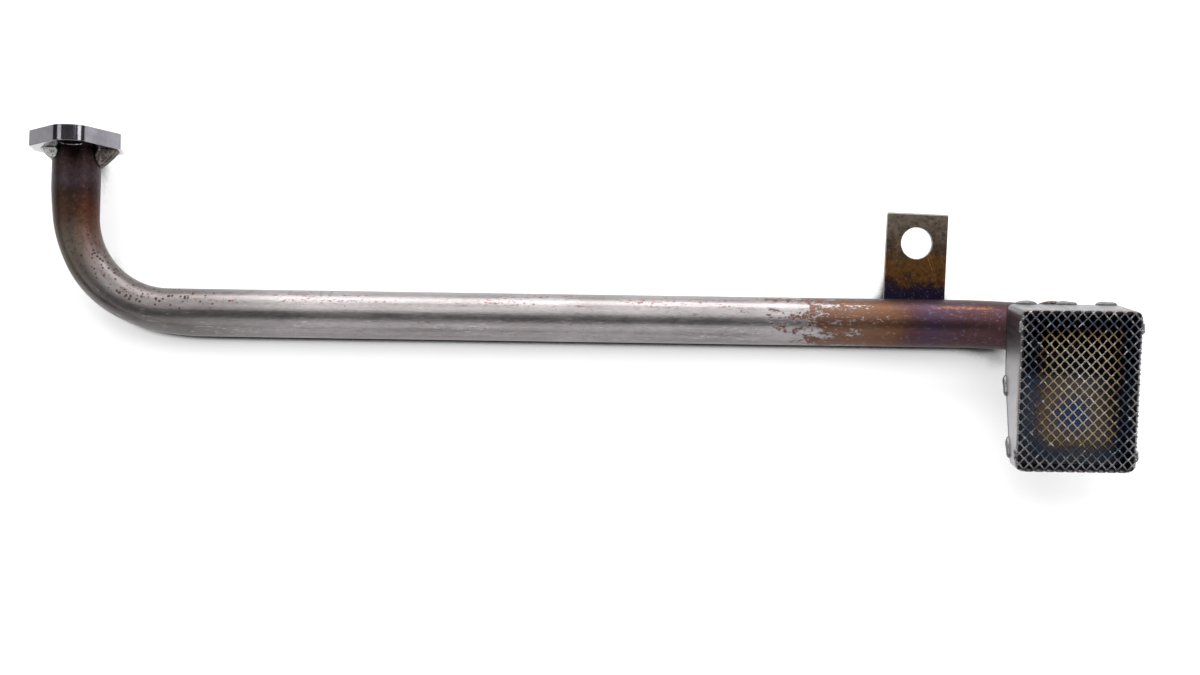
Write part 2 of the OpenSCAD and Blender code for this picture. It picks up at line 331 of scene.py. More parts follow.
def plate(name, loops, thick, edge, place, low, adjust=None):
    """A plate with rounded edges from flat loops, the first its outline and the rest its holes.

    Its middle plane is drawn at height 0, thickened both ways, lifted by low plus
    half its thickness, adjusted if asked, and carried to its place.
    """
    curve = bpy.data.curves.new(name, "CURVE")
    curve.dimensions, curve.fill_mode = "2D", "BOTH"
    curve.extrude, curve.offset = thick / 2 - edge, -edge
    curve.bevel_depth, curve.bevel_resolution = edge, 2
    for loop in loops:
        spline = curve.splines.new("POLY")
        spline.points.add(len(loop) - 1)
        rows = np.concatenate([loop, np.zeros((len(loop), 1)), np.ones((len(loop), 1))], axis=1)
        spline.points.foreach_set("co", rows.ravel())
        spline.use_cyclic_u = True
    drawn = bpy.data.objects.new(name, curve)
    bpy.context.collection.objects.link(drawn)
    mesh = bpy.data.meshes.new_from_object(drawn.evaluated_get(bpy.context.evaluated_depsgraph_get()))
    bpy.data.objects.remove(drawn)
    merge(mesh, outward=True)
    own = np.empty(len(mesh.vertices) * 3, "f4")
    mesh.vertices.foreach_get("co", own)
    own = own.reshape(-1, 3) + [0, 0, low + thick / 2]
    if adjust:
        own = adjust(own)
    mesh.vertices.foreach_set("co", (place(own) / 1000).astype("f4").ravel())
    keep_lay(mesh, own)
    mesh.update()
    print(f"{name}: {len(mesh.vertices)} points, {len(loops) - 1} holes")
    return mesh


def flange_loops():
    """The flange's outline: two straight sides, and ears whose arcs meet straight lines at tangents."""
    reach = np.array([FLANGE_W, BOLTS - FLANGE_SIDE]) / 2
    lean = np.arctan2(reach[1], reach[0]) + np.arcsin(EAR_R / np.hypot(*reach))
    arc = np.linspace(np.pi / 2 - lean, np.pi / 2 + lean, 48)
    ear = np.stack([EAR_R * np.cos(arc), BOLTS / 2 + EAR_R * np.sin(arc)], axis=-1)
    half = np.concatenate([[[FLANGE_W / 2, FLANGE_SIDE / 2]], ear, [[-FLANGE_W / 2, FLANGE_SIDE / 2]]])
    bolt_holes = [circle(0, y, BOLT_D / 2) for y in (BOLTS / 2, -BOLTS / 2)]
    return [np.concatenate([half, -half]), circle(0, 0, TUBE_R + CLEARANCE), *bolt_holes]


flange_place = Place(leg_place.turned @ turn(2, CLOCK), leg_place.shift)
flange = add_piece(plate("pump flange", flange_loops(), FLANGE_T, FLANGE_EDGE, flange_place, leg_seat),
                   "pump_flange", sharp=10)


def seat_on_tube(own):
    """Moves the foot of the tab onto the tube's circle: y = root of (r squared - z squared)."""
    foot = np.sqrt(TUBE_R**2 - own[:, 2] ** 2)
    seated = np.stack([own[:, 0], foot, own[:, 2]], axis=-1)
    return np.where(own[:, 1:2] < TAB_FOOT + 1, seated, own)


tab_outline = np.array([[-0.5, TAB_FOOT], [0.5, TAB_FOOT], [0.5, TAB_TOP], [-0.5, TAB_TOP]]) * [TAB_W, 1]
tab = add_piece(
    plate("mounting tab", [tab_outline, circle(0, TAB_HOLE, TAB_HOLE_D / 2)], TAB_T, TAB_EDGE, tab_place,
          -TAB_DROP - TAB_T, seat_on_tube),
    "mounting_tab", sharp=10)

# %% [markdown]
# ## The strainer box
# The box is folded and welded from thin sheet: a band forms its four walls, and a
# back plate with one fold closes it behind. The band is a closed ring, so a small
# profile with rounded edges is carried round the outline, and its lower edge
# follows the fold. The back plate has a round hole for the tube, so its grid runs
# out from the hole to the outline like the spokes of a wheel.


# %% Box outline and fold
def outline(inset, count=240):
    """Points round the box's rounded rectangle, evenly spaced, with their outward normals.

    The corners are quarter circles, so the outline inset by d is the same points
    moved by d against their normals.
    """
    quarter = np.linspace(0, np.pi / 2, 60)
    turns = (quarter + np.pi / 2 * np.arange(4)[:, None]).ravel()
    normals = np.stack([np.cos(turns), np.sin(turns)], axis=-1)
    centre = np.array([[1, 1], [-1, 1], [-1, -1], [1, -1]])
    half = np.array([BOX_W / 2 - CORNER_R, BOX_L / 2 - CORNER_R])
    middle = np.array([BOX_W / 2, BOX_EDGE - BOX_L / 2])
    loop = np.repeat(centre * half, 60, axis=0) + normals * CORNER_R
    loop, normals = np.concatenate([loop, loop[:1]]), np.concatenate([normals, normals[:1]])
    length = np.concatenate([[0], np.cumsum(np.hypot(*np.diff(loop, axis=0).T))])
    at = np.linspace(0, length[-1], count, endpoint=False)
    spaced = np.stack([np.interp(at, length, loop[:, k]) for k in (0, 1)], axis=-1)
    facing = np.stack([np.interp(at, length, normals[:, k]) for k in (0, 1)], axis=-1)
    facing /= np.linalg.norm(facing, axis=-1, keepdims=True)
    return spaced - facing * inset + middle, facing


def fold(b):
    """Height and slope of the back plate's inner face across the box.

    Two straight slopes meet at the knee: mean slope times d, plus half their
    difference times root of (d squared + round squared), which rounds the fold.
    """
    d, round_squared = b - KNEE[0], 2.5
    mean, half = (DEEP_SLOPE + SHALLOW_SLOPE) / 2, (DEEP_SLOPE - SHALLOW_SLOPE) / 2
    soft = np.sqrt(d * d + round_squared)
    return KNEE[1] + mean * d + half * soft, mean + half * d / soft


# %% Band
def band_grid():
    """The band: a profile of (inset, share of the height, mm up or down) round the outline."""
    top = SCREEN_RISE - SCREEN_T
    wall = np.linspace(0, 1, 14)
    soft = 0.3
    profile = np.concatenate([
        np.stack([0 * wall, wall, soft * (1 - 2 * wall)], axis=-1),
        [[soft * 0.3, 1, -soft * 0.3], [soft, 1, 0]],
        [[SHEET - soft, 1, 0], [SHEET - soft * 0.3, 1, -soft * 0.3]],
        np.stack([SHEET + 0 * wall, 1 - wall, soft * (2 * wall - 1)], axis=-1),
        [[SHEET - soft, 0, 0], [soft, 0, 0]],
    ])
    edge, facing = outline(0)
    flat = edge[None] - facing[None] * profile[:, 0, None, None]
    foot = fold(flat[..., 1])[0]
    height = foot + (top - foot) * profile[:, 1, None] + profile[:, 2, None]
    # Hand-folded sheet is never quite flat: the walls bow by about a tenth of a millimetre.
    bow = 0.12 * np.sin(flat[..., 0] / 7) * np.sin(height / 9 + flat[..., 1] / 11)
    flat = flat + facing[None] * bow[..., None]
    return np.concatenate([flat, height[..., None]], axis=-1)


band = grid_piece("strainer band", box_place, band_grid(), "strainer_band", sharp=50,
                  wrap_rows=True)


# %% Back plate
def back_grid():
    """The back plate: spokes from the tube's hole to the outline, on both faces.

    The two edges of the hole are where the tube's surface meets the planes of the
    two faces. Each spoke keeps its direction from the hole's middle, and meets the
    outline where a finely drawn outline has that direction.
    """
    def hole(below):
        ring = bend2(TUBE_R + CLEARANCE, np.array([1.0]), below)[0][0]
        return (ring - box_place.shift) @ box_place.turned

    inside, outside = hole(0), hole(SHEET)
    middle = inside[:, :2].mean(0)
    turned = np.arctan2(*(inside[:, :2] - middle).T[::-1])

    def rim(inset):
        edge = outline(inset, 2400)[0]
        direction = np.arctan2(*(edge - middle).T[::-1])
        order = np.argsort(direction)
        found = [np.interp(turned, direction[order], edge[order, k], period=2 * np.pi) for k in (0, 1)]
        return np.stack(found, axis=-1)

    rows, soft = 22, 1.1
    share = np.linspace(0, 1, rows)[:, None, None]
    top = inside[None, :, :2] * (1 - share) + rim(0)[None] * share
    under = rim(soft)[None] * (1 - share) + outside[None, :, :2] * share
    curve = np.linspace(0, np.pi / 2, 5)[1:-1]
    round_edge = np.stack([rim(soft * (1 - np.cos(c))) for c in curve])
    flat = np.concatenate([top, round_edge, under])
    depth = np.concatenate([np.zeros(rows), SHEET - soft + soft * np.sin(curve), np.full(rows, SHEET)])
    height, slope = fold(flat[..., 1])
    height = height - depth[:, None] * np.hypot(1, slope)
    return np.concatenate([flat, height[..., None]], axis=-1)


back = grid_piece("strainer back", box_place, back_grid(), "strainer_back", sharp=50,
                  wrap_rows=True)

# %% [markdown]
# ## The screen
# Expanded metal starts as a plain sheet. It is slit in staggered rows and pulled
# open, so each strip between two rows of slits becomes a zigzag strand, joined to
# its neighbours at the bonds. Modelling it the way it is made gives the right
# look: 32 zigzag strands, each a rounded bar tipped by 36 degrees, as pulling tips
# the strips, and neighbours that meet at every peak.


# %% Expanded metal
def strands():
    """Zigzag bars of expanded metal, each a grid of rings along the strand.

    Strand j has its middle at (j + 1/2) half pitches and swings a quarter pitch
    either way on a rounded triangle wave, arcsin(k cos x) / arcsin(k), with its
    neighbours in opposite phase. A ring is a bar's rounded section across the
    strand's direction, tipped about it.
    """
    pitch_x, pitch_y, wide, thick, tip = 3.9, 3.95, 0.66, 0.82, np.radians(-36)
    inset, bond, squareness, count = 0.1, 0.12, 0.55, 193
    j = np.arange(-16, 16)[:, None]
    middle = (j + 0.5) * pitch_y / 2
    over = np.clip(np.abs(middle) - (BOX_L / 2 - CORNER_R), 0, CORNER_R * 0.98)
    half = BOX_W / 2 - CORNER_R + np.sqrt(CORNER_R**2 - over**2) - inset
    a = half * np.linspace(-1, 1, count)[None]
    k, sign = 0.5, np.where(j % 2 == 0, 1.0, -1.0)
    x = 2 * np.pi * a / pitch_x
    swing = (pitch_y / 4 - bond) / np.arcsin(k) * sign
    b = middle + swing * np.arcsin(k * np.cos(x))
    slope = -swing * k * np.sin(x) / np.sqrt(1 - (k * np.cos(x)) ** 2) * 2 * np.pi / pitch_x
    across = np.stack([-slope, 1 + 0 * slope, 0 * slope], axis=-1) / np.hypot(1, slope)[..., None]
    up = np.array([0.0, 0.0, 1.0])
    wide_way = across * np.cos(tip) + up * np.sin(tip)
    thick_way = up * np.cos(tip) - across * np.sin(tip)
    t = np.linspace(0, 2 * np.pi, 10, endpoint=False) + np.pi / 10
    # a rounded bar: cosine and sine drawn towards the corners of a square
    u = np.sign(np.cos(t)) * np.abs(np.cos(t)) ** squareness * wide / 2
    v = np.sign(np.sin(t)) * np.abs(np.sin(t)) ** squareness * thick / 2
    wave = 0.16 * np.sin(a / 6.1 + 1) * np.sin(b / 7.7)
    centre = np.stack([a, b, SCREEN_RISE - SCREEN_T / 2 + wave], axis=-1)
    shrink = np.ones(count)
    shrink[[0, -1]] = 0
    ring = u[:, None] * wide_way[:, :, None] + v[:, None] * thick_way[:, :, None]
    points = centre[:, :, None] + ring * shrink[None, :, None, None]
    points[..., 1] = np.clip(points[..., 1], -BOX_L / 2 + inset, BOX_L / 2 - inset)
    return points + [BOX_W / 2, BOX_EDGE - BOX_L / 2, 0]


screen_lay = strands()
screen = grid_piece("screen", box_place, screen_lay, "screen")
print("strands:", screen_lay.shape[0])

# %% [markdown]
# ## Weld beads
# A weld in a corner is a fillet: it runs from a toe on one sheet to a toe on the
# other, bulges a little between them, and carries the ripples the weld pool left
# behind. One function makes every fillet from the corner's line and the two
# directions away from it. Welds along the outer edges of the box are short rods
# that swell over the edge.


# %% Fillets
def ramp_ends(count, power=6.0):
    """A run of sizes that stays near 1 and falls to 0 at both ends: root of (1 - |2u - 1|^power)."""
    u = np.linspace(-1, 1, count)
    return np.sqrt(np.clip(1 - np.abs(u) ** power, 0, 1))


def fillet(corner, first, second, leg, ripples, bulge=0.16, depth=0.05):
    """Sections of a weld bead along a corner's line.

    Each section is a quadratic curve from leg times the first direction to leg
    times the second, pushed out by the bulge and by ripples that trail towards
    the toes, and it closes through the corner.
    """
    t = np.linspace(0, 1, 13)[None, :, None]
    toe_a, toe_b = (leg[:, None] * first)[:, None], (leg[:, None] * second)[:, None]
    peak = (toe_a + toe_b) * (0.5 + bulge)
    face = (1 - t) ** 2 * toe_a + 2 * t * (1 - t) * peak + t**2 * toe_b
    step = np.linspace(0, ripples, len(corner))[:, None, None]
    wave = np.sin(2 * np.pi * (step + 1.6 * (t - 0.5) ** 2))
    face = face * (1 + depth * wave * (4 * t * (1 - t)))
    return corner[:, None] + np.concatenate([face, 0 * face[:, :1]], axis=1)


def flange_fillet(leg, start, sweep, ripples):
    """A flat fillet round part of the leg, against the flange's inner face."""
    t = np.radians(start + np.linspace(0, sweep, 70))
    out = np.stack([np.cos(t), np.sin(t), 0 * t], axis=-1)
    corner = out * TUBE_R + [0, 0, leg_seat]
    down = np.broadcast_to([0.0, 0.0, -1.0], out.shape)
    return fillet(corner, out, down, leg * ramp_ends(70, 4.0), ripples, bulge=0.03)


left_lay = flange_fillet(leg=4.5, start=171, sweep=66, ripples=5)
left_weld = grid_piece("left flange weld", leg_place, left_lay, "flange_weld_left")
right_lay = flange_fillet(leg=7.0, start=-29, sweep=76, ripples=6)
right_weld = grid_piece("right flange weld", leg_place, right_lay, "flange_weld_right")


# %% Tab weld and collar weld
def tab_fillet():
    """The fillet behind the tab, between its back face and the tube below it."""
    depth, inset, leg = TAB_DROP + TAB_T, 2.5, 3.2
    foot = np.sqrt(TUBE_R**2 - depth**2)
    x = np.linspace(-TAB_W / 2 + inset, TAB_W / 2 - inset, 80)
    corner = np.stack([x, foot + 0 * x, -depth + 0 * x], axis=-1)
    up = np.broadcast_to([0.0, 1.0, 0.0], corner.shape)
    under = np.broadcast_to(np.array([0.0, -depth, -foot]) / TUBE_R, corner.shape)
    return fillet(corner, up, under, leg * ramp_ends(80), ripples=9)


def collar_fillet():
    """The ring weld where the tube enters the back plate, all the way round."""
    rings = bend2(TUBE_R, np.array([1.0, 0.97]), SHEET)[0]
    corner, back_down = rings[0], rings[1] - rings[0]
    back_down /= np.linalg.norm(back_down, axis=-1, keepdims=True)
    out = corner - corner.mean(0)
    face = box_place.aim(np.array([0, -DEEP_SLOPE, 1]) / np.hypot(1, DEEP_SLOPE))
    out -= (out @ face)[:, None] * face
    out /= np.linalg.norm(out, axis=-1, keepdims=True)
    # 14 ripples, less the last step, which the ring's closing adds
    return fillet(corner, out, back_down, np.full(len(corner), 2.0), ripples=14 * (1 - 1 / len(corner)))


tab_weld = grid_piece("tab weld", tab_place, tab_fillet(), "tab_weld")
collar = collar_fillet()
collar_weld = add_piece(grid_mesh("collar weld", collar[None], wrap_rows=True), "collar_weld")


# %% Stitches and tacks
def rods(middles, ways, length, thick, seed):
    """Short weld rods, one grid each, that swell over an edge.

    A rod's radius is its thickness times the end ramp, times a ripple and a slow
    random lump; its rings stand across its direction.
    """
    count = 46
    share = np.linspace(-0.5, 0.5, count)
    rng = np.random.default_rng(seed)
    phase = rng.uniform(0, 6.28, (len(middles), 1))
    size = 1 + 0.02 * np.sin(46 * share + phase) + 0.10 * np.sin(9 * share + 2 * phase)
    radius = thick * ramp_ends(count, 3.0)[None] * size
    way = ways / np.linalg.norm(ways, axis=-1, keepdims=True)
    side = np.cross(way, [0.3, 0.5, 0.8])
    side /= np.linalg.norm(side, axis=-1, keepdims=True)
    other = np.cross(way, side)
    t = np.linspace(0, 2 * np.pi, 18, endpoint=False)
    ring = np.cos(t)[:, None] * side[:, None] + np.sin(t)[:, None] * other[:, None]
    line = middles[:, None] + length * share[None, :, None] * way[:, None]
    return line[:, :, None] + radius[..., None, None] * ring[:, None]


low = BOX_EDGE - BOX_L
clear = CORNER_R + STITCH / 2
past = np.array([0.6 * STITCH, BOX_L - KNEE_AT - clear])
middles = np.array(
    [[a, BOX_EDGE, SCREEN_RISE - DEPTHS[0]] for a in (clear, BOX_W / 2, BOX_W - clear)]
    + [[share * BOX_W, low, SCREEN_RISE - DEPTHS[2]] for share in (0.3, 0.7)]
    + [[wall, KNEE[0] - d, KNEE[1] - SHALLOW_SLOPE * d] for wall in (0.0, BOX_W) for d in past])
ways = np.concatenate([np.tile([1.0, 0.0, 0.0], (5, 1)), np.tile([0.0, 1.0, SHALLOW_SLOPE], (4, 1))])
stitch_lay = rods(middles, ways, STITCH, STITCH_R, seed=3)
stitches = grid_piece("stitch welds", box_place, stitch_lay, "stitch_welds")

tack_at = np.array([[wall, b, SCREEN_RISE - SCREEN_T] for wall in (0.0, BOX_W)
                    for b in (BOX_EDGE - CORNER_R - 0.75 * TACK, low + CORNER_R + 0.75 * TACK)])
tack_lay = rods(tack_at, np.tile([0.0, 1.0, 0.0], (4, 1)), TACK, TACK_R, seed=8)
tacks = grid_piece("screen tacks", box_place, tack_lay, "screen_tacks")

# %% [markdown]
# ## Writing shaders as sums
# A finish is arithmetic on patterns: a noise, a threshold, a mix of two colours.
# Node calls make that hard to read, so one small class wraps a socket. Adding or
# multiplying two adds the Math node that does it, and one method adds any other.


# %% Shader maths
class Shade:
    """One output socket of a material; sums and products on it add Math nodes."""

    def __init__(self, tree, socket=None):
        self.tree = tree
        self.socket = socket

    def node(self, kind, sockets=None, out=0, stops=None, **settings):
        """Adds any node: first its settings and its ramp's stops, then its sockets' values or links."""
        made = self.tree.nodes.new("ShaderNode" + kind)
        for name, value in settings.items():
            setattr(made, name, value)
        if stops:
            ramp = made.color_ramp.elements
            while len(ramp) < len(stops):
                ramp.new(0.5)
            for element, (position, colour) in zip(ramp, stops):
                element.position, element.color = position, (*colour, 1)
        for name, value in (sockets or {}).items():
            if isinstance(value, Shade):
                self.tree.links.new(value.socket, made.inputs[name])
            else:
                made.inputs[name].default_value = value
        return Shade(self.tree, made.outputs[out])

    def math(self, operation, other=0.0):
        return self.node("Math", {0: self, 1: other}, operation=operation)

    def __add__(self, other):
        return self.math("ADD", other)

    def __sub__(self, other):
        return self.math("SUBTRACT", other)

    def __rsub__(self, other):
        return self.node("Math", {0: other, 1: self}, operation="SUBTRACT")

    def __mul__(self, other):
        return self.math("MULTIPLY", other)

    def __truediv__(self, other):
        return self.math("DIVIDE", other)

    __radd__, __rmul__ = __add__, __mul__

    def least(self, other):
        return self.math("MINIMUM", other)

    def most(self, other):
        return self.math("MAXIMUM", other)

    def step(self, start, end):
        """0 below start, 1 above end and a smooth rise between."""
        return self.node("MapRange", {"Value": self, "From Min": start, "From Max": end},
                         interpolation_type="SMOOTHSTEP")

    def part(self, axis):
        return self.node("SeparateXYZ", {0: self}, out=axis)

    def noise(self, scale, detail=3.0, rough=0.55, seed=0.0):
        """Noise of a vector whose axes are first stretched by scale, moved on by the seed."""
        shift = (seed, seed * 0.7, -seed)
        moved = self.node("VectorMath", {0: self, 1: scale, 2: shift}, operation="MULTIPLY_ADD")
        return self.node("TexNoise", {"Vector": moved, "Scale": 1.0, "Detail": detail, "Roughness": rough})

    def ramp(self, start, end, stops):
        """A colour ramp over start to end, with stops given in the same measure."""
        share = self.node("MapRange", {"Value": self, "From Min": start, "From Max": end})
        shares = [((at - start) / (end - start), colour) for at, colour in stops]
        return share.node("ValToRGB", {0: share}, stops=shares)

    def mix(self, under, over):
        """Mix of two colours by this value."""
        under, over = (c if isinstance(c, Shade) else (*c, 1) for c in (under, over))
        return self.node("Mix", {0: self, 6: under, 7: over}, out=2, data_type="RGBA")

    def bump(self, height):
        """Bump of some millimetres' height."""
        return self.node("Bump", {"Height": self, "Strength": 1.0, "Distance": height / 1000})


def finish(name, paint, pieces):
    """A new material whose shader takes the values that paint returns, put on the pieces."""
    material = bpy.data.materials.new(name)
    material.use_nodes = True
    tree = material.node_tree
    shader = next(n for n in tree.nodes if n.type == "BSDF_PRINCIPLED")
    lay = Shade(tree).node("Attribute", out=1, attribute_name="lay")
    for socket, value in paint(lay).items():
        if isinstance(value, Shade):
            tree.links.new(value.socket, shader.inputs[socket])
        else:
            shader.inputs[socket].default_value = value
    for piece in pieces:
        piece.data.materials.clear()
        piece.data.materials.append(material)
    print(f"{name}: {len(tree.nodes)} nodes on {len(pieces)} piece(s)")


# %% [markdown]
# ## Drawn steel with heat colours and flaking scale
# The tube is bare drawn steel in the middle: fine streaks along it, dull clouds
# across it, brown specks above, pale scuffs below and rust pits on the elbow.
# Welding heat has coloured both ends. Close to the flange the steel is nearly
# black, then plum, then red-brown on the inside of the elbow and brown on the
# outside. Towards the box a brown scale flakes off in patches, and behind it bands
# of gold, violet and plum follow. Each band is a ramp along the straightened tube,
# in millimetres from its mouth, bent a little by noise.


# %% Tube finish
def scale_colours(lay, cloud, mottle):
    """Heat colours towards the box: brown scale, gold, violet, plum, with silver and blue in it, and a thin
    orange line that is heat tint drawn as a painted highlight.
    """
    along = lay.part(0)
    warm = along + (cloud - 0.5) * 14 + (mottle - 0.5) * 14
    colour = warm.ramp(300, 440, [
        (300, (0.105, 0.055, 0.041)), (352, (0.110, 0.056, 0.041)), (368, (0.112, 0.060, 0.040)),
        (378, (0.095, 0.046, 0.026)), (386, (0.054, 0.026, 0.029)), (394, (0.046, 0.027, 0.046)),
        (402, (0.056, 0.029, 0.036)), (413, (0.056, 0.027, 0.028)), (425, (0.050, 0.024, 0.027)),
        (438, (0.024, 0.016, 0.019))])
    near_box = along.step(376, 392)
    worn = lay.noise((0.45, 0.8, 0.8), 6, 0.75, 31).step(0.55, 0.66) * (0.8 - along.step(358, 374) * 0.58)
    blue = lay.noise((0.4, 0.65, 0.65), 6, 0.75, 43).step(0.53, 0.66) * near_box * cloud.step(0.35, 0.6) * 0.5
    colour = blue.mix(worn.mix(colour, (0.26, 0.235, 0.22)), (0.065, 0.07, 0.17))
    # Painted highlight: a thin bright orange line at the angle where the back panel's highlight runs, near
    # the box.
    line = (lay.part(1) - 3.9 + (cloud - 0.5) * 3).math("ABSOLUTE")
    orange = (1 - line.step(0.2, 0.9)) * along.step(392, 400) * (1 - along.step(416, 424))
    orange = orange * mottle.step(0.4, 0.6)
    return (orange * 0.5).mix(colour, (0.30, 0.13, 0.03))


def flange_colours(lay, cloud, mottle):
    """Heat colours below the flange: black, plum, then red-brown on the inside and brown outside."""
    close = lay.part(0) + (cloud - 0.5) * 8 + (mottle - 0.5) * 7
    inner_side = close.ramp(0, 60, [
        (5, (0.009, 0.006, 0.006)), (11, (0.034, 0.018, 0.018)), (18, (0.044, 0.030, 0.036)),
        (23, (0.032, 0.015, 0.015)), (30, (0.060, 0.021, 0.013)), (42, (0.088, 0.044, 0.032))])
    outer_side = close.ramp(0, 60, [
        (5, (0.009, 0.006, 0.006)), (11, (0.034, 0.019, 0.019)), (18, (0.042, 0.030, 0.035)),
        (23, (0.028, 0.015, 0.012)), (32, (0.048, 0.026, 0.017)), (44, (0.092, 0.077, 0.064))])
    colour = lay.part(1).step(-2, 5).mix(outer_side, inner_side)
    fleck = lay.noise((0.6, 0.6, 0.6), 6, 0.78, 27)
    colour = (fleck.step(0.54, 0.66) * 0.22).mix(colour, (0.13, 0.105, 0.10))
    return ((1 - fleck.step(0.38, 0.48)) * 0.45).mix(colour, (0.010, 0.007, 0.007))


def rust_pits(lay, cluster, mottle):
    """Round pits of random size, in clusters on the inner upper side of the elbow and rare elsewhere.

    A pit is the inside of a circle about the nearest random point; the point's own
    random number, raised where pits cluster, gives the circle's size.
    """
    along = lay.part(0)
    place = lay.node("VectorMath", {0: lay, 1: (0.62, 0.62, 0.62)}, operation="MULTIPLY")
    distance = place.node("TexVoronoi", {"Vector": place, "Scale": 1.0})
    chance = place.node("TexVoronoi", {"Vector": place, "Scale": 1.0}, out=1).part(0)
    elbow = along.step(30, 46) * (1 - along.step(84, 150)) * (lay.part(1) + lay.part(2)).step(4, 11)
    reach = (chance - 0.90 + elbow * cluster.step(0.34, 0.50) * 0.8) * 0.75
    return (reach.least(0.42) - distance + (mottle - 0.5) * 0.5).step(0.0, 0.08)


def wear(lay, steel):
    """Clusters of fine marks on the steel: brown specks on the upper half, pale scuffs on the lower."""
    upper, lower = lay.part(1).step(0.5, 2.5), 1 - lay.part(1).step(-4.0, -1.5)
    speck = lay.noise((0.55, 1.0, 1.0), 4, 0.7, 51).step(0.56, 0.60)
    specks = speck * lay.noise((0.05, 0.2, 0.2), 2, 0.5, 37).step(0.50, 0.54) * upper
    scuff = lay.noise((0.28, 1.6, 1.6), 6, 0.75, 21).step(0.53, 0.70)
    scuffs = scuff * lay.noise((0.05, 0.2, 0.2), 2, 0.5, 33).step(0.46, 0.58) * lower
    steel = (specks * 0.85).mix(steel, (0.10, 0.042, 0.028))
    return (scuffs * 0.55).mix(steel, (0.62, 0.605, 0.60))


def drawn_steel(lay):
    """Streaked steel under heat colours at both ends; flakes by a threshold on noise and distance."""
    along = lay.part(0)
    streak = lay.noise((0.02, 1.1, 1.1), 5, 0.65)
    fine = lay.noise((0.35, 1.6, 1.6), 5, 0.7, 7)
    cloud = lay.noise((0.035, 0.09, 0.09), 4, 0.55, 3)
    mottle = lay.noise((0.5, 0.7, 0.7), 7, 0.75, 15)
    patch = lay.noise((0.12, 0.24, 0.24), 10, 0.76, 11)
    steel = (0.5 + (streak - 0.5) * 0.6 + (cloud - 0.5) * 0.9 + (fine - 0.5) * 1.0).mix(
        (0.107, 0.097, 0.098), (0.335, 0.313, 0.317))
    elbow = along.step(30, 50) * (1 - along.step(95, 150)) * (0.35 + patch * 0.7)
    steel = elbow.mix(steel, (0.066, 0.057, 0.055))
    freckle = mottle.step(0.58, 0.64) * patch.step(0.47, 0.56)
    steel = wear(lay, (freckle * 0.7).mix(steel, (0.08, 0.048, 0.036)))
    flake_at, flake_over = 348, 38
    flake = (patch - 0.5) * 5.4 + (mottle - 0.5) * 2.4 + (along - flake_at) / flake_over
    flake = flake.step(-0.05, 0.12)
    colour = flake.mix(steel, scale_colours(lay, cloud, mottle))
    outside = 1 - lay.part(1).step(-4, 4)
    heated = 1 - (along - outside * 12 + (patch - 0.5) * 30).step(37, 58)
    colour = heated.mix(colour, flange_colours(lay, cloud, mottle))
    pit = rust_pits(lay, patch, mottle)
    colour = pit.mix(colour, (0.040, 0.020, 0.013))
    dull = flake.most(heated)
    rough = 0.35 + (cloud - 0.5) * 0.14 + (fine - 0.5) * 0.24 + dull * 0.10 + pit * 0.3
    height = streak * 0.3 + fine * 0.6 + flake * 0.4 + mottle * dull * 0.7 - pit * 1.5
    return {"Base Color": colour, "Metallic": 1 - pit * 0.6, "Roughness": rough, "Normal": height.bump(0.07)}


finish("drawn tube steel", drawn_steel, [tube])

# %% [markdown]
# ## Flange, tab and box steels
# The flange is ground bar, smooth enough to mirror the panels, with a fine grain
# across its edge. The tab took more of the heat, so it goes from olive grey at its
# free end through bronze to blue black at the tube. The box is pale folded sheet,
# dark and streaked where it was welded. Inside it the back plate carries the blue
# spot and the brown rings that the weld behind it left.


# %% Plate finishes
def ground_bar(lay):
    """Smooth grey bar: grain that runs across the edge and stains, with painted shade on its left half and a
    painted highlight on its right.
    """
    grain = lay.noise((2.2, 2.2, 0.12), 3, 0.6)
    stain = lay.noise((0.12, 0.12, 0.2), 4, 0.6, 4)
    tone = 0.5 + (grain - 0.5) * 0.8 + (stain - 0.5) * 1.5
    colour = tone.mix((0.078, 0.070, 0.080), (0.275, 0.268, 0.295))
    # Painted light: the left half is darkened as painted shade and the right half brightened as a painted
    # highlight.
    right = lay.part(0).step(-10, 8)
    colour = ((1 - right) * 0.6).mix(colour, (0.062, 0.058, 0.070))
    colour = (right * 0.35).mix(colour, (0.29, 0.285, 0.31))
    return {"Base Color": colour, "Metallic": 1.0, "Roughness": 0.05 + grain * 0.08 + stain * 0.03,
            "Normal": grain.bump(0.012)}


def tinted_tab(lay):
    """Olive grey to bronze to blue black down the tab, mottled by noise."""
    mottle = lay.noise((0.5, 0.5, 0.5), 8, 0.75)
    cloud = lay.noise((0.11, 0.13, 0.2), 4, 0.6, 9)
    up = lay.part(1) + (cloud - 0.5) * 16 + (mottle - 0.5) * 16
    colour = up.ramp(6, 46, [
        (8, (0.009, 0.007, 0.019)), (12, (0.014, 0.010, 0.036)), (15, (0.024, 0.013, 0.018)),
        (19, (0.105, 0.043, 0.009)), (25, (0.112, 0.050, 0.014)), (30, (0.064, 0.043, 0.027)),
        (37, (0.120, 0.091, 0.066)), (45, (0.190, 0.155, 0.122))])
    speckle = lay.noise((0.8, 0.8, 0.8), 6, 0.75, 2)
    colour = (speckle.step(0.52, 0.62) * 0.65).mix(colour, (0.014, 0.011, 0.013))
    colour = ((1 - speckle.step(0.36, 0.44)) * 0.35).mix(colour, (0.22, 0.19, 0.15))
    # The pale top band is bare sheared steel brightened into a painted highlight along the edge.
    sheared_edge_and_highlight = lay.part(1).step(TAB_TOP - 1.1, TAB_TOP - 0.6)
    colour = sheared_edge_and_highlight.mix(colour, (0.85, 0.83, 0.76))
    return {"Base Color": colour, "Metallic": 0.9, "Roughness": 0.3 + mottle * 0.16,
            "Normal": mottle.bump(0.03)}


def from_edge(lay):
    """Distance from the nearest of the box's four walls, negative outside it."""
    across, up = lay.part(0), lay.part(1)
    return across.least(BOX_W - across).least(BOX_EDGE - up).least(up - low)


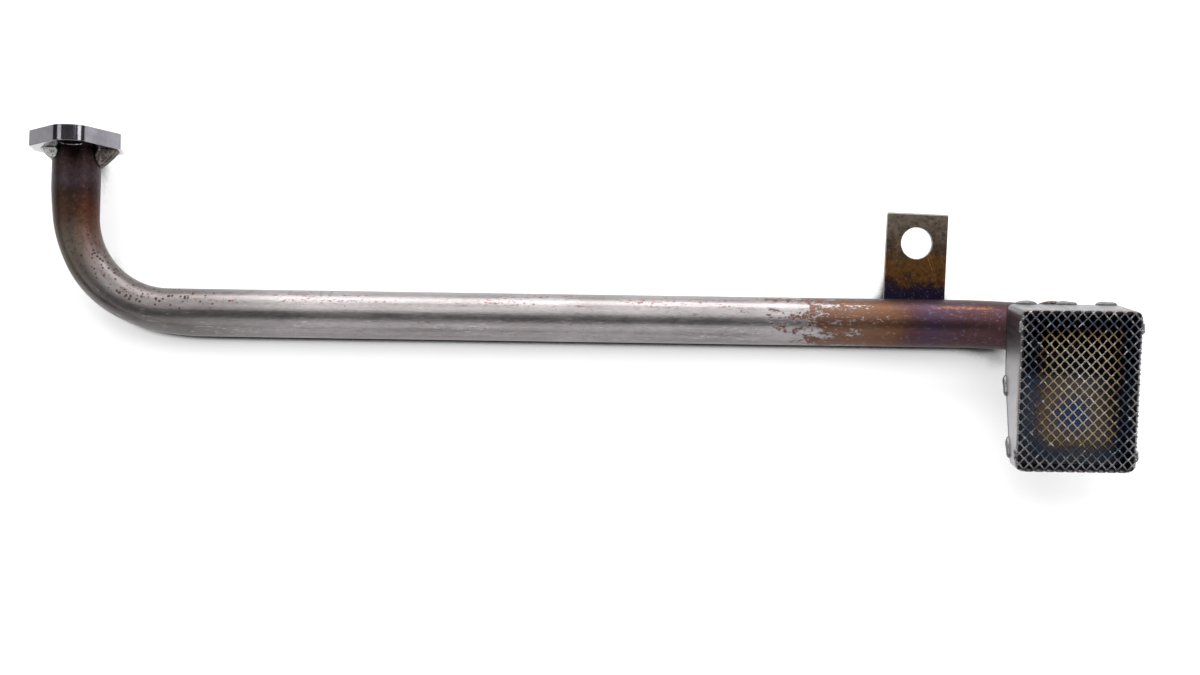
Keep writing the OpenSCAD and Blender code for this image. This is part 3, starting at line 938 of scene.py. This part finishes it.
def folded_sheet(lay):
    """Pale sheet with cloudy stains, and painted shade on its inner faces.

    It is dark and streaked near the deep edge, straw near the screen and grey along
    the back seam, whose height is the greater of the plate's two slopes.
    """
    cloud = lay.noise((0.10, 0.10, 0.10), 4, 0.6)
    grain = lay.noise((0.4, 0.15, 2.4), 3, 0.6, 6)
    colour = (0.5 + (cloud - 0.5) * 1.0 + (grain - 0.5) * 0.5).mix((0.24, 0.236, 0.242), (0.56, 0.55, 0.56))
    near_weld = (lay.part(1) + (cloud - 0.5) * 12).step(-12, 0) * 0.85
    streak = lay.noise((0.5, 0.5, 0.05), 4, 0.65, 8).step(0.42, 0.62)
    colour = near_weld.mix(colour, streak.mix((0.045, 0.043, 0.050), (0.15, 0.142, 0.155)))
    straw = lay.part(2).step(40.5, 44.0) * cloud.step(0.42, 0.58) * 0.6
    colour = straw.mix(colour, (0.16, 0.115, 0.085))
    past_knee = lay.part(1) - KNEE[0]
    seam = lay.part(2) - KNEE[1] - (past_knee * DEEP_SLOPE).most(past_knee * SHALLOW_SLOPE)
    colour = ((1 - seam.step(0.6, 2.6)) * 0.85).mix(colour, (0.105, 0.10, 0.105))
    # Painted shade: faces more than 0.9 mm in from the outline, the band's inner faces, are made near black.
    within = from_edge(lay).step(0.6, 0.9)
    colour = within.mix(colour, (0.022, 0.022, 0.028))
    return {"Base Color": colour, "Metallic": 1.0, "Roughness": 0.28 + cloud * 0.16,
            "Normal": (cloud * 0.6 + grain * 0.2).bump(0.06)}


def heated_back(lay):
    """The back plate: steel stained brown, with a blue heat spot ringed by brown and violet."""
    cloud = lay.noise((0.12, 0.12, 0.12), 4, 0.6, 2)
    spot = lay.node("VectorMath", {0: lay, 1: (25.0, -31.0, 29.5)}, out=1, operation="DISTANCE")
    colour = (spot + (cloud - 0.5) * 7).ramp(0, 26, [
        (0, (0.014, 0.028, 0.080)), (4, (0.018, 0.033, 0.068)), (7, (0.039, 0.036, 0.043)),
        (11, (0.056, 0.044, 0.032)), (16, (0.030, 0.029, 0.034)), (20, (0.013, 0.019, 0.028)),
        (26, (0.011, 0.010, 0.011))])
    return {"Base Color": colour, "Metallic": 1.0, "Roughness": 0.22 + cloud * 0.12,
            "Normal": cloud.bump(0.05)}


finish("ground flange steel", ground_bar, [flange])
finish("tinted tab steel", tinted_tab, [tab])
finish("folded box steel", folded_sheet, [band, stitches])
finish("heated back plate", heated_back, [back])

# %% [markdown]
# ## Heat rings on the screen, and weld metal
# Welding the screen's edge sent heat inwards, and the oxide it left is a set of
# rings: bare grey at the rim, then blue and violet, then straw, and pale steel in
# the middle. The distance to the nearest edge is the smallest of four straight
# distances, and a ramp over it draws the rings. Of the weld beads, one fillet and
# the tacks were brushed bright, the stitches look like the box they are on, and
# the others are brown and grey as welded.


# %% Screen and weld finishes
def ringed_screen(lay):
    """Heat rings by the distance to the nearest edge of the screen, bent by noise."""
    cloud = lay.noise((0.11, 0.11, 0.11), 4, 0.6)
    fine = lay.noise((1.1, 1.1, 1.1), 3, 0.6, 4)
    above = lay.part(1) - low
    ring = from_edge(lay) + (cloud - 0.5) * 7 + (fine - 0.5) * 2 - (1 - above.step(7, 17)) * 3
    colour = ring.ramp(0, 24, [
        (0, (0.150, 0.147, 0.150)), (2.2, (0.090, 0.090, 0.098)), (4.4, (0.036, 0.050, 0.070)),
        (6.4, (0.033, 0.033, 0.050)), (8, (0.077, 0.054, 0.034)), (10.5, (0.165, 0.120, 0.072)),
        (15, (0.215, 0.178, 0.132)), (24, (0.250, 0.230, 0.204))])
    # Painted glints: pale specks over the strands stand in for highlights.
    painted_glints = lay.noise((0.42, 0.42, 0.42), 4, 0.7, 12).step(0.54, 0.66) * 0.55
    colour = painted_glints.mix(colour, (0.50, 0.50, 0.51))
    lowest = 1 - above.step(0.8, 2.6)
    colour = (lowest * 0.85).mix(colour, (0.018, 0.015, 0.015))
    return {"Base Color": colour, "Metallic": 1.0, "Roughness": 0.16 + fine * 0.14, "Normal": fine.bump(0.03)}


def brushed_weld(lay):
    """Bright weld metal with grey in its ripples."""
    fine = lay.noise((0.9, 0.9, 0.9), 4, 0.65)
    colour = fine.step(0.35, 0.65).mix((0.06, 0.057, 0.06), (0.40, 0.395, 0.395))
    return {"Base Color": colour, "Metallic": 1.0, "Roughness": 0.26 + fine * 0.16, "Normal": fine.bump(0.08)}


def burnt_weld(lay):
    """Weld metal left as welded: plum, brown and soot grey in patches."""
    fine = lay.noise((0.5, 0.5, 0.5), 4, 0.65)
    colour = fine.ramp(0.3, 0.7, [
        (0.32, (0.014, 0.013, 0.014)), (0.46, (0.046, 0.034, 0.036)), (0.54, (0.075, 0.056, 0.044)),
        (0.66, (0.24, 0.23, 0.23))])
    return {"Base Color": colour, "Metallic": 0.85, "Roughness": 0.36 + fine * 0.2, "Normal": fine.bump(0.08)}


finish("heat-ringed screen", ringed_screen, [screen])
finish("brushed weld metal", brushed_weld, [left_weld, tacks])
finish("burnt weld metal", burnt_weld, [right_weld, tab_weld, collar_weld])

# %% [markdown]
# ## Camera
# The photograph looks down at 73 degrees from the long side, slightly rolled, with
# a lens of about 51 mm on a 36 mm sensor. A camera's axes are the columns of its
# matrix: right, up and back.

# %% Camera
elevation, yaw, roll = np.radians([72.74, 0.31, 0.56])
TARGET, DISTANCE = np.array([210.72, -76.485, -17.544]), 678.62
SENSOR, LENS = 36.0, 51.2325
back_way = np.array([np.sin(yaw) * np.cos(elevation), -np.cos(yaw) * np.cos(elevation), np.sin(elevation)])
right_way = np.array([np.cos(yaw), np.sin(yaw), 0])
up_way = np.cross(back_way, right_way)
tilted_right = np.cos(roll) * right_way + np.sin(roll) * up_way
tilted_up = np.cos(roll) * up_way - np.sin(roll) * right_way
eye = (TARGET + DISTANCE * back_way) / 1000
camera = bpy.data.objects.new("camera", bpy.data.cameras.new("camera"))
camera.data.sensor_width = SENSOR
camera.data.lens = LENS
axes = np.stack([tilted_right, tilted_up, back_way, eye], axis=-1)
camera.matrix_world = Matrix(np.vstack([axes, [0, 0, 0, 1]]))
bpy.context.collection.objects.link(camera)
bpy.context.scene.camera = camera
print("camera at", np.round(eye, 3), "lens", LENS)

# %% [markdown]
# ## Floor and light
# The part lies on a white table that glows a little, which keeps shadows pale. A
# contact shadow is painted into the table's colour and glow where the part leaves it
# less than half of the sky, so a thin dark line follows the tube. A long soft panel
# stands low behind the part and draws the bright line along the tube, a weaker one
# hangs above, and a faint one stands in front. Two at the sides draw the glints on
# the flange's ear. The air round the camera stays dim, which leaves the dark band
# along the middle of the tube.


# %% Floor and lights
def white_table(shade):
    """Plain white with a faint unevenness, and a painted contact shadow, dark by a threshold on the share of
    open sky within reach.
    """
    cloud = shade.node("TexNoise", {"Scale": 2.0, "Detail": 2.0})
    white = (0.4 + cloud * 0.2).mix((0.55, 0.55, 0.555), (0.59, 0.59, 0.59))
    reach = 0.03
    sky = shade.node("AmbientOcclusion", {"Distance": reach}, out=1, samples=32)
    # Painted contact shadow: colour and glow turn dark where less than about 0.41 to 0.46 of the sky is open.
    colour = sky.step(0.41, 0.46).mix((0.015, 0.013, 0.013), white)
    return {"Base Color": colour, "Roughness": 0.6, "Emission Color": colour, "Emission Strength": 0.75}


FLOOR_HALF = 8.0
floor_corners = np.array([[-1, -1, 0], [1, -1, 0], [1, 1, 0], [-1, 1, 0]]) * FLOOR_HALF
floor_mesh = bpy.data.meshes.new("table")
floor_mesh.from_pydata(floor_corners + [0, 0, TABLE / 1000], [], [[0, 1, 2, 3]])
floor = bpy.data.objects.new("table", floor_mesh)
bpy.context.collection.objects.link(floor)
finish("white table", white_table, [floor])
floor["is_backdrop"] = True


def panel(name, round_by, lean, distance, width, height, glow):
    """A soft panel that faces the part, in metres and degrees.

    It leans from straight above towards the back, and the whole is then turned
    round the part; glow is the panel's own brightness.
    """
    data = bpy.data.lights.new(name, "AREA")
    data.shape, data.size, data.size_y = "RECTANGLE", width, height
    data.energy = glow * np.pi * width * height
    light = bpy.data.objects.new(name, data)
    facing = Matrix.Rotation(np.radians(-round_by), 4, "Z") @ Matrix.Rotation(np.radians(-lean), 4, "X")
    light.matrix_world = Matrix.Translation(TARGET / 1000) @ facing @ Matrix.Translation((0, 0, distance))
    light.visible_camera = False
    bpy.context.collection.objects.link(light)
    print(name, np.round(light.matrix_world.translation, 2))


panel("back panel", round_by=0, lean=63, distance=0.95, width=1.8, height=0.5, glow=6.2)
panel("top panel", round_by=0, lean=20.5, distance=1.2, width=1.8, height=0.85, glow=2.7)
panel("front panel", round_by=180, lean=64, distance=1.1, width=1.8, height=0.78, glow=1.7)
panel("left panel", round_by=-90, lean=54, distance=1.2, width=1.2, height=0.4, glow=2.6)
panel("right panel", round_by=90, lean=54, distance=1.2, width=1.2, height=0.4, glow=3.4)
world = bpy.data.worlds.new("studio")
world.use_nodes = True
world.node_tree.nodes["Background"].inputs["Color"].default_value = (0.13, 0.13, 0.132, 1)
bpy.context.scene.world = world
bpy.context.scene.view_settings.view_transform = "Standard"

# %% [markdown]
# ## Size
# The finer pieces sit where the solids were, so the part's size should not change;
# both boxes are compared and the change is printed.

# %% Compare the boxes
new_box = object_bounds()
change = (np.array(new_box) - np.array(cad_box)) * 1000
print("size change in mm:", np.round(change, 2).tolist())
